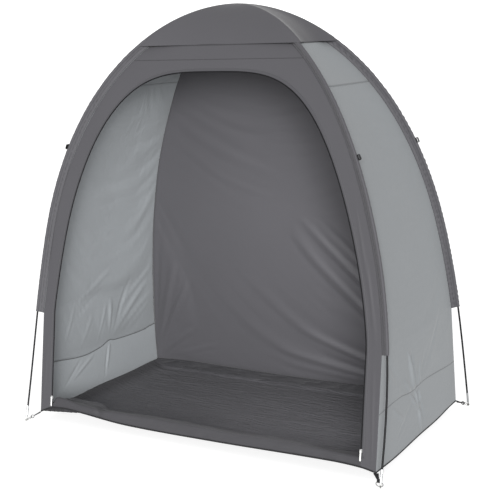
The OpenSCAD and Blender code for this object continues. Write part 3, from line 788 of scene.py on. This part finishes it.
class TENT_OT_side_walls(Operator):
    """Build the pale side walls, each a top strip, a wall and a skirt"""

    bl_idname = "tent.side_walls"
    bl_label = "Side walls"

    def execute(self, context):
        level, top = [(0, SIDE_SEAM)], [(0, ROOF_SEAM)]
        self.panel("left_skirt", -1, SIDE_HEM, LEFT_SEAM, LEFT_SKIRT_FOLDS, [], 24, "left_wall_skirt")
        self.panel("left_wall", -1, LEFT_SEAM, level, LEFT_FOLDS, [], 80, "left_wall_middle")
        self.panel("left_strip", -1, level, top, [], [], 16, "left_wall_top")
        folds, creases = RIGHT_SKIRT_FOLDS, RIGHT_SKIRT_CREASES
        self.panel("right_skirt", 1, SIDE_HEM, RIGHT_SEAM, folds, creases, 24, "right_wall_skirt")
        self.panel("right_wall", 1, RIGHT_SEAM, level, RIGHT_FOLDS, RIGHT_CREASES, 80, "right_wall_middle")
        self.panel("right_strip", 1, level, top, [], [], 16, "right_wall_top")
        return {"FINISHED"}

    def panel(self, name, side, low, high, folds, creases, rows, node):
        """One pale sheet between the curves low and high, simulated with its folds, then creased."""
        form = shell()
        tall = along(high, 0) - along(low, 0)

        def place(u, v):
            y0 = (2 * u - 1) * form.half_depth(0.5 * SKIRT_SEAM)
            z0, z1 = along(low, y0), along(high, y0)
            z = z0 + (z1 - z0) * v
            run = (2 * u - 1) * form.half_depth(z)
            inside = min(1.0, 14 * u, 14 * (1 - u), 8 * v, 8 * (1 - v))
            soft = 0.005 * ripple(2.1 * run, 1.7 * z, side * 5.0) + fold_height(folds, run, z)
            return form.side(side, run, z, -inside * soft)

        def cut(u, v):
            spot = place(u, v)
            return Vector((spot.x, spot.y * 1.004, spot.z + 0.003 * (v - 0.5) * tall))

        def press(spot):
            gap = min(spot.z - along(low, spot.y), along(high, spot.y) - spot.z)
            return Vector((side * fold_height(creases, spot.y, spot.z) * clamp(gap / 0.02), 0, 0))

        piece = add_cloth(name, 110, rows, place, (1.03, max(0.2, tall)))
        settle(piece, cut, frames=12)
        finish_cloth(piece, bpy.context.scene.tent_sizes.fabric, press=press)
        # The left skirt takes the brightened copy of the pale cloth: painted light.
        cloth = coated_cloth() if name == "left_skirt" else light_cloth()
        hand_over(piece, cloth, "tent", node, slot="fabric_light")
        flat, area = pattern_size(cut)


class TENT_OT_front(Operator):
    """Build the front panel round its arched doorway, with the sill below it"""

    bl_idname = "tent.front"
    bl_label = "Front panel"

    turn_share = 0.72
    turn_z = 1.60
    upright = 0.55
    roll_back = 0.050

    def edge_points(self, form, v):
        """Inner and outer edge of the band round the doorway, at v from the hem to the middle of the top."""
        if v <= self.turn_share:
            t = v / self.turn_share
            z_in = HEM_Z + (self.turn_z - HEM_Z) * t
            z_out = HEM_Z + (ROOF_SEAM - HEM_Z) * t
            return (form.door_x(z_in), z_in), (form.half_width(z_out), z_out)
        t = (v - self.turn_share) / (1 - self.turn_share)
        x_in = form.door_x(self.turn_z) * (1 - t)
        return (x_in, form.door_z(x_in)), (form.half_width(ROOF_SEAM) * (1 - t), ROOF_SEAM)

    def execute(self, context):
        form = shell()
        s = form.s

        def band(u, v):
            side = -1 if v <= 0.5 else 1
            inner, outer = self.edge_points(form, 2 * v if v <= 0.5 else 2 - 2 * v)
            x = side * (inner[0] + (outer[0] - inner[0]) * u)
            z = inner[1] + (outer[1] - inner[1]) * u
            fade = clamp((0.4 - z) / 0.3)
            z += fade * (along(FRONT_HEM, x) - HEM_Z) * (1 - min(1.0, (z - HEM_Z) / 0.3))
            return form.front(x, z)

        piece = add_cloth("front_panel_cloth", 14, 260, band, (0.2, 4.6))
        finish_cloth(piece, s.fabric)

        def sill(u, v):
            x = (2 * u - 1) * (s.door_half + 0.004)
            low = along(FRONT_HEM, x)
            crest = s.sill_top + along(SILL_CURL, x)
            t = min(1.0, v / self.upright)
            z = low + (crest - low) * t
            wave = 0.0050 * ripple(5 * x, 2.5 * v, 7.7) + 0.0022 * ripple(18 * x, 5 * v, 2.7)
            dent = 0.005 * math.exp(-(((x + 0.575) / 0.014) ** 2))
            spot = form.front(x, z, (wave - dent) * math.sin(math.pi * t) - 0.0012 - 0.007 * t**5)
            if v > self.upright:
                w = (v - self.upright) / (1 - self.upright)
                spot.y += self.roll_back * w
                top = heap_top(x, max(0.002, spot.y - HEAP_LOW.y)) + 0.0025
                spot.z += (top - spot.z) * w * w * (3 - 2 * w)
            return spot

        strip = add_cloth("sill_cloth", 170, 16, sill, (1.76, 0.11))
        finish_cloth(strip, s.fabric, smooth=0)
        piece.data.materials.append(dark_cloth())
        # The sill takes the door's darkened copy of the dark fabric: painted shade.
        strip.data.materials.append(door_cloth())
        select_only(piece, strip)
        bpy.ops.object.join()
        hand_over(piece, None, "tent", "front_panel", slot="fabric_dark")
        return {"FINISHED"}


class TENT_OT_roof(Operator):
    """Stretch the roof over the crossed poles, down to its seam"""

    bl_idname = "tent.roof"
    bl_label = "Roof"

    def execute(self, context):
        form = shell()
        s = form.s

        def place(u, v):
            a, b = 2 * u - 1, 2 * v - 1
            big, small = max(abs(a), abs(b)), min(abs(a), abs(b))
            over_pole = min(1.0, 1.05 * small / big) ** 3 if big > 0 else 1.0
            soft = (abs(a) ** 40 + abs(b) ** 40) ** (1 / 40)
            r = min(1.0, soft + (big - soft) * big**6)
            off = s.roof_off - (s.roof_off + s.seam_inset - 0.002) * r**3 * (1 - over_pole)
            wide = form.arch(ROOF_SEAM, off) * form.cos
            deep = form.arch(ROOF_SEAM, off) * form.sin
            top = s.height + off
            full = (form.foot_r + off) * form.cos
            z = top * (1 - (r * wide / full) ** s.crown) ** (1 / s.shoulder)
            sag = 0.004 * (1 - over_pole) * math.sin(math.pi * r)
            rise = 0.005 * over_pole * r * (1 - r**14)
            return Vector((wide * a, deep * b, z - sag + rise))

        piece = add_cloth("roof_cloth", 64, 64, place, (1.0, 0.6))
        finish_cloth(piece, s.fabric)
        hand_over(piece, dark_cloth(), "tent", "roof_panel", slot="fabric_dark")
        return {"FINISHED"}


class TENT_OT_sleeves(Operator):
    """Wrap the four pole sleeves, each a flat pocket with the pole in its outer edge"""

    bl_idname = "tent.sleeves"
    bl_label = "Pole sleeves"

    tube = 0.0085
    flap_share = 0.3

    def frame_at(self, form, sx, sy, z):
        """Pole, seam and the ways out of and across a sleeve at the height z, in the back right corner."""
        s = form.s
        drop = 0.0 if sx == sy else s.cross_drop
        pole = form.pole(math.asin(z / (s.height - s.seam_inset)), drop)
        seam = Vector((form.half_width(z), form.half_depth(z), z))
        if sy > 0:
            seam.x -= draw_in(sx, z)
        return pole, seam, (pole - seam).normalized(), Vector((-form.sin, form.cos, 0))

    def execute(self, context):
        form = shell()
        s = form.s
        for name, (sx, sy) in CORNERS.items():

            def place(u, v, sx=sx, sy=sy):
                z = s.sleeve_end + (ROOF_SEAM - 0.001 - s.sleeve_end) * v
                pole, seam, out, side = self.frame_at(form, sx, sy, z)
                reach = (pole - seam).length
                slant = math.sin(math.tau * (38 * z + 2.2 * abs(u - 0.5) * (1 if sy > 0 else 2)))
                rumple = 0.5 + ripple(9 * z, 2 * u, sx + 2 * sy)
                gather = 0.0008 + 0.0014 * (sy > 0)
                pucker = gather * slant * rumple + 0.0012 * ripple(40 * z, 7 * u, sx - sy)
                if u < self.flap_share or u > 1 - self.flap_share:
                    w = min(u, 1 - u) / self.flap_share
                    way = 1 if u < 0.5 else -1
                    d = -reach + (reach - self.tube * 0.9) * w
                    lift = 0.0010 + 0.0038 * w**2.4 + pucker * math.sin(math.pi * w)
                    spot = pole + out * d + side * way * lift
                else:
                    w = (u - self.flap_share) / (1 - 2 * self.flap_share)
                    angle = math.radians(150 - 300 * w)
                    round_pole = out * math.cos(angle) + side * math.sin(angle)
                    spot = pole + round_pole * (self.tube + 0.7 * pucker)
                return Vector((sx * spot.x, sy * spot.y, spot.z))

            piece = add_cloth("sleeve_" + name + "_cloth", 30, 300, place, (0.1, 1.5))
            finish_cloth(piece, s.fabric, smooth=0)
            hand_over(piece, dark_cloth(), "tent", "sleeve_" + name, slot="fabric_dark")
            for way in (-1, 1):
                self.stitching(form, name, sx, sy, way)
        return {"FINISHED"}

    def stitching(self, form, name, sx, sy, way):
        """Sewn line that closes the pocket beside the pole, and the line where the flap joins the walls."""
        s = form.s
        made = []
        for label, share, lift in (("pocket", 0.62, 0.0026), ("edge", 0.04, 0.0016)):

            def edges(v, share=share, lift=lift):
                z = s.sleeve_end + 0.002 + (ROOF_SEAM - 0.004 - s.sleeve_end) * v
                pole, seam, out, side = self.frame_at(form, sx, sy, z)
                reach = (pole - seam).length
                lines = []
                for part in (-0.0009, 0.0009):
                    d = -reach + (reach - self.tube * 0.9) * share + part
                    spot = pole + out * d + side * way * lift
                    lines.append(Vector((sx * spot.x, sy * spot.y, spot.z)))
                return lines

            side_name = "inner" if way < 0 else "outer"
            line_name = "_".join(("sleeve", name, side_name, label))
            made.append(ribbon(line_name, edges, 150, 0.0007, (0.002, 1.5)))
        for piece in made:
            hand_over(piece, seam_cloth(), "tent", slot="fabric_dark")


class TENT_OT_groundsheet(Operator):
    """Lay the groundsheet, a tray with a low margin turned up"""

    bl_idname = "tent.groundsheet"
    bl_label = "Groundsheet"

    def execute(self, context):
        form = shell()
        wide = form.half_width(HEM_Z) - 0.003
        deep = form.half_depth(HEM_Z) - 0.003

        def place(u, v):
            x, y = (2 * u - 1) * wide, (2 * v - 1) * deep
            lift = form.ground(x, y)
            flat = max(0.25, 1 - lift / 0.04)
            creases = 0.0032 * abs(ripple(3.2 * x, 34 * y, 0.4))
            creases += 0.0028 * abs(ripple(1.4 * x + 4, 13 * y, 5.5))
            cross = 0.0018 * abs(ripple(16 * x, 5 * y, 8.1))
            fold = 0.0020 * math.exp(-(((x % 0.62) - 0.31) / 0.010) ** 2)
            fold += 0.002 * math.exp(-((y - 0.12) / 0.01) ** 2)
            return Vector((x, y, 0.0008 + flat * (creases + cross + fold) + lift))

        piece = add_cloth("groundsheet_cloth", 96, 260, place, (2 * wide, 2 * deep))
        finish_cloth(piece, 0.0007, smooth=0, offset=1.0)
        hand_over(piece, ground_cloth(), "tent", "groundsheet", slot="groundsheet")
        return {"FINISHED"}


class TENT_OT_door(Operator):
    """Drop the unzipped door in folds behind the sill"""

    bl_idname = "tent.door"
    bl_label = "Dropped door"

    layers = 8

    def execute(self, context):
        form = shell()
        half = HEAP_HIGH.x
        front = HEAP_LOW.y
        depth = HEAP_HIGH.y - HEAP_LOW.y
        high = HEAP_HIGH.z - HEAP_LOW.z

        def place(u, v):
            x = (2 * u - 1) * half
            inner = 0.7
            if v < inner:
                w = v / inner
                turn = 0.5 - 0.5 * math.cos(math.pi * w * self.layers)
                z = 0.03 * w
                reach = depth * 0.7 * (1 - (z + 0.03) / high)
                y = front + 0.012 + reach * turn
                return Vector((x, y, form.ground(x, y) + 0.006 + z))
            w = (v - inner) / (1 - inner)
            if w < 0.12:
                t = w / 0.12
                d = 0.004 * (1 - t) + 0.001
                low = form.ground(x, front) + 0.03
                return Vector((x, front + d, low + (heap_top(x, 0.001) - low) * t))
            d = 0.001 + depth * 1.1 * (w - 0.12) / 0.88
            return Vector((x, front + d, max(form.ground(x, front + d) + 0.006, heap_top(x, d))))

        piece = add_cloth("door_cloth", 170, 200, place, (1.71, 1.9))
        finish_cloth(piece, 0.0006, smooth=0)
        # The door takes the darkened copy of the dark fabric: painted shade.
        hand_over(piece, door_cloth(), "tent", "door_panel", slot="fabric_dark")
        return {"FINISHED"}


def ribbon(name, place_edges, rows, thick, size):
    """A thin band whose two edges place_edges(v) gives, made solid."""

    def place(u, v):
        a, b = place_edges(v)
        return a.lerp(b, u)

    piece = add_cloth(name, 3, rows, place, size)
    return finish_cloth(piece, thick, smooth=0, offset=0.0)


class TENT_OT_zip(Operator):
    """Sew the zip round the doorway: its tape and the open half of its coil"""

    bl_idname = "tent.zip"
    bl_label = "Door zip"

    overhang = 0.004
    tape_lift = 0.00055
    coil_lift = 0.0022
    bend_z = 1.4

    def door_path(self, form, v, off, lift):
        """Point beside the doorway's edge, from the foot of its left leg over the top to the right one."""
        s = form.s
        side = -1 if v <= 0.5 else 1
        w = 2 * v if v <= 0.5 else 2 - 2 * v
        if w < 0.5:
            z = s.sill_top + (self.bend_z - s.sill_top) * w / 0.5
            x = form.door_x(z, off)
        else:
            x0 = form.door_x(self.bend_z)
            t = math.sin(0.5 * math.pi * (w - 0.5) / 0.5)
            x = x0 * (1 - t)
            z = form.door_z(x, off)
            if w < 0.6:
                x = form.door_x(z, off)
        return form.front(side * x, z, lift)

    def band_at(self, form, v, width, lift):
        """Inner and outer edge of a band along the doorway, its inner edge over the opening."""
        inner = self.door_path(form, v, -self.overhang, lift)
        return inner, self.door_path(form, v, width - self.overhang, lift)

    def execute(self, context):
        form = shell()
        s = form.s

        def tape(v):
            return self.band_at(form, v, s.tape, self.tape_lift)

        def coil(v):
            return self.band_at(form, v, s.coil, self.coil_lift)

        piece = ribbon("zip_tape_cloth", tape, 360, 0.0007, (s.tape, 4.6))
        hand_over(piece, tape_cloth(), "tent", "door_zip_tape", slot="zip_tape")
        piece = ribbon("zip_coil_strip", coil, 360, 0.0018, (s.coil, 4.6))
        material = hard_material("nylon_coil", (0.008, 0.008, 0.009), 0.0, 0.6, gloss=0.15)
        hand_over(piece, material, "tent", "door_zip_coil", slot="zip_coil")
        return {"FINISHED"}


class TENT_OT_seams(Operator):
    """Add the sewn seams: roof seam, panel seams and the hem binding"""

    bl_idname = "tent.seams"
    bl_label = "Seams and binding"

    front_line_z = 1.846

    def execute(self, context):
        form = shell()

        def level(side, z, lift, half=0.004):
            def edges(v):
                a = 2 * v - 1
                lines = []
                for dz in (-half, half):
                    wide, deep = form.half_width(z + dz), form.half_depth(z + dz)
                    if side == "front":
                        lines.append(form.front(a * wide, z + dz, lift))
                    elif side == "back":
                        lines.append(Vector((a * wide, deep + lift, z + dz)))
                    else:
                        lines.append(form.side(-1 if side == "left" else 1, a * deep, z + dz, lift))
                return lines

            return edges

        made = []
        for side in ("front", "back", "left", "right"):
            made.append(ribbon("roof_seam_" + side, level(side, ROOF_SEAM, 0.0012), 40, 0.0008, (0.008, 0.9)))
        front_line = level("front", self.front_line_z, 0.0010, 0.0012)
        made.append(ribbon("front_seam_line", front_line, 40, 0.0005, (0.003, 0.9)))
        for side in ("left", "right"):
            wall_line = level(side, SIDE_SEAM, 0.0, 0.003)
            made.append(ribbon("wall_seam_" + side, wall_line, 40, 0.0022, (0.006, 0.9)))
        for piece in made:
            if piece.name.startswith("wall_seam"):
                hand_over(piece, pale_seam(), "tent", slot="fabric_light")
            else:
                hand_over(piece, seam_cloth(), "tent", slot="fabric_dark")
        for name, side, seam in (("left", -1, LEFT_SEAM), ("right", 1, RIGHT_SEAM)):

            def skirt(v, side=side, seam=seam):
                y = (2 * v - 1) * form.half_depth(SKIRT_SEAM)
                z = along(seam, y)
                return [form.side(side, y, z + dz) for dz in (-0.0025, 0.0025)]

            piece = ribbon("skirt_seam_" + name, skirt, 90, 0.0024, (0.006, 1.0))
            hand_over(piece, pale_seam(0.40 if side < 0 else 0.68), "tent", slot="fabric_light")
        self.binding(form)
        return {"FINISHED"}

    def binding(self, form):
        """Black tape folded over the hem, all round."""
        width = 0.006
        strips = []
        for name, hem in (("front", FRONT_HEM), ("back", BACK_HEM)):
            way = -1 if name == "front" else 1

            def edges(v, hem=hem, way=way):
                x = (2 * v - 1) * form.half_width(HEM_Z)
                z = along(hem, x)
                heights = (z - 0.001, z + width)
                return [Vector((x, way * (form.half_depth(h) + 0.0006), h)) for h in heights]

            strips.append(ribbon("hem_" + name, edges, 120, 0.0016, (width, 1.9)))
        for name, way in (("left", -1), ("right", 1)):

            def edges(v, way=way):
                y = (2 * v - 1) * form.half_depth(HEM_Z)
                z = along(SIDE_HEM, y)
                heights = (z - 0.001, z + width)
                return [Vector((way * (form.half_width(h) + 0.0006), y, h)) for h in heights]

            strips.append(ribbon("hem_" + name, edges, 70, 0.0016, (width, 1.06)))
        select_only(*strips)
        bpy.ops.object.join()
        piece = bpy.context.object
        piece.name = piece.data.name = "hem_tape"
        hand_over(piece, webbing(), "tent", "hem_binding", slot="webbing_black")


class TENT_OT_hardware(Operator):
    """Finish the poles, ferrules, pins, rings, straps, loops and zip sliders"""

    bl_idname = "tent.hardware"
    bl_label = "Poles and hardware"

    def execute(self, context):
        tint = colours()
        pole = hard_material("black_fibreglass", tint.pole, 0.0, 0.45, grain=900.0, gloss=0.12)
        aluminium = hard_material("drawn_aluminium", (0.60, 0.61, 0.62), 1.0, 0.36)
        steel = hard_material("zinc_steel", (0.40, 0.40, 0.39), 1.0, 0.38, grain=700.0, wear=0.2)
        slider = hard_material("cast_slider", (0.55, 0.55, 0.55), 0.6, 0.4)
        pull = hard_material("white_pull", (0.82, 0.82, 0.80), 0.0, 0.35)
        cord = cloth_material("elastic_cord", (0.6, 0.6, 0.6), thread=0.0008, crease=0.0)
        finishes = {
            "pole_black": pole,
            "ferrule_aluminium": aluminium,
            "hardware_steel": steel,
            "slider_metal": slider,
            "pull_white": pull,
            "shock_cord": cord,
            "webbing_black": webbing(),
        }
        for entry in frame["record"]["subparts"]:
            material = finishes.get(entry["material_slot"])
            if material:
                node = frame["nodes"][entry["node"]]
                node.data.materials.clear()
                node.data.materials.append(material)
        return {"FINISHED"}


class TENT_OT_stage(Operator):
    """Set the pale floor, the soft lights and the camera"""

    bl_idname = "tent.stage"
    bl_label = "Stage"

    def execute(self, context):
        self.floor()
        self.lights(context.scene)
        self.camera(context.scene)
        return {"FINISHED"}

    def floor(self):
        bpy.ops.object.select_all(action="DESELECT")
        bpy.ops.mesh.primitive_plane_add(size=60, location=(0, 0, 0))
        floor = bpy.context.object
        floor.name = "studio_floor"
        material, tree, shader = new_material("studio_paper")
        shader.inputs["Base Color"].default_value = (0.5, 0.5, 0.5, 1)
        shader.inputs["Roughness"].default_value = 0.9
        shader.inputs["Emission Color"].default_value = (1, 1, 1, 1)
        ray = tree.nodes.new("ShaderNodeLightPath")
        seen = math_node(tree, "MULTIPLY", ray.outputs["Is Camera Ray"], 0.45)
        tree.links.new(math_node(tree, "ADD", seen, 0.3), shader.inputs["Emission Strength"])
        floor.data.materials.append(material)

    def lights(self, scene):
        scene.view_settings.view_transform = "Standard"
        world = bpy.data.worlds.new("studio_air")
        scene.world = world
        world.use_nodes = True
        tree = world.node_tree
        sky = tree.nodes["Background"]
        sky.inputs["Color"].default_value = (1, 1, 1, 1)
        ray = tree.nodes.new("ShaderNodeLightPath")
        seen = math_node(tree, "MULTIPLY", ray.outputs["Is Camera Ray"], 0.9)
        tree.links.new(math_node(tree, "ADD", seen, 0.55), sky.inputs["Strength"])
        key = bpy.data.lights.new("key", "SUN")
        key.energy = 3.9
        key.angle = math.radians(22)
        self.hang(scene, key, (0, 0, 4), (0.42, -0.885, 0.20))
        lift = bpy.data.lights.new("inside_lift", "AREA")
        lift.energy = 9.0
        lift.spread = math.radians(150)
        lift.shape = "RECTANGLE"
        lift.size, lift.size_y = 0.6, 1.3
        self.hang(scene, lift, (0.55, -0.20, 0.95), (0.88, 0.02, 0.44))

    def hang(self, scene, light, place, towards):
        """Puts a light at a place, shining away from the direction towards."""
        lamp = bpy.data.objects.new(light.name, light)
        lamp.location = place
        lamp.rotation_euler = Vector(towards).to_track_quat("Z", "Y").to_euler()
        lamp.visible_camera = False
        scene.collection.objects.link(lamp)

    def camera(self, scene):
        azimuth, pitch, roll = math.radians(29.90), math.radians(11.12), math.radians(-1.743)
        flat = math.cos(pitch)
        ahead = Vector((-math.sin(azimuth) * flat, math.cos(azimuth) * flat, -math.sin(pitch)))
        level = Vector((math.cos(azimuth), math.sin(azimuth), 0))
        above = level.cross(ahead)
        right = math.cos(roll) * level + math.sin(roll) * above
        up = math.cos(roll) * above - math.sin(roll) * level
        turn = Matrix((right, up, -ahead)).transposed().to_4x4()
        turn.translation = Vector((2.769, -4.757, 1.967))
        lens = bpy.data.cameras.new("camera")
        lens.lens = 79.6
        lens.sensor_width = 36
        camera = bpy.data.objects.new("camera", lens)
        camera.matrix_world = turn
        scene.collection.objects.link(camera)
        scene.camera = camera


class TENT_PT_sidebar(Panel):
    """Lists the tent's sizes, colours and pieces"""

    bl_label = "Shelter tent"
    bl_idname = "TENT_PT_sidebar"
    bl_space_type = "VIEW_3D"
    bl_region_type = "UI"
    bl_category = "Tent"

    def draw(self, context):
        for group in (context.scene.tent_sizes, context.scene.tent_colours):
            box = self.layout.box()
            for name in group.__annotations__:
                box.prop(group, name)
        for operator in OPERATORS:
            self.layout.operator(operator.bl_idname)


OPERATORS = (
    TENT_OT_stage,
    TENT_OT_back_wall,
    TENT_OT_side_walls,
    TENT_OT_front,
    TENT_OT_roof,
    TENT_OT_sleeves,
    TENT_OT_groundsheet,
    TENT_OT_door,
    TENT_OT_zip,
    TENT_OT_seams,
    TENT_OT_hardware,
)
CLASSES = (TentSizes, TentColours, *OPERATORS, TENT_PT_sidebar)


def register():
    for item in CLASSES:
        bpy.utils.register_class(item)
    bpy.types.Scene.tent_sizes = PointerProperty(type=TentSizes)
    bpy.types.Scene.tent_colours = PointerProperty(type=TentColours)


def unregister():
    del bpy.types.Scene.tent_colours
    del bpy.types.Scene.tent_sizes
    for item in reversed(CLASSES):
        bpy.utils.unregister_class(item)


def main():
    register()
    bpy.ops.tent.stage()
    bpy.ops.tent.back_wall()
    bpy.ops.tent.side_walls()
    bpy.ops.tent.front()
    bpy.ops.tent.roof()
    bpy.ops.tent.sleeves()
    bpy.ops.tent.groundsheet()
    bpy.ops.tent.door()
    bpy.ops.tent.zip()
    bpy.ops.tent.seams()
    bpy.ops.tent.hardware()


if __name__ == "__main__":
    main()
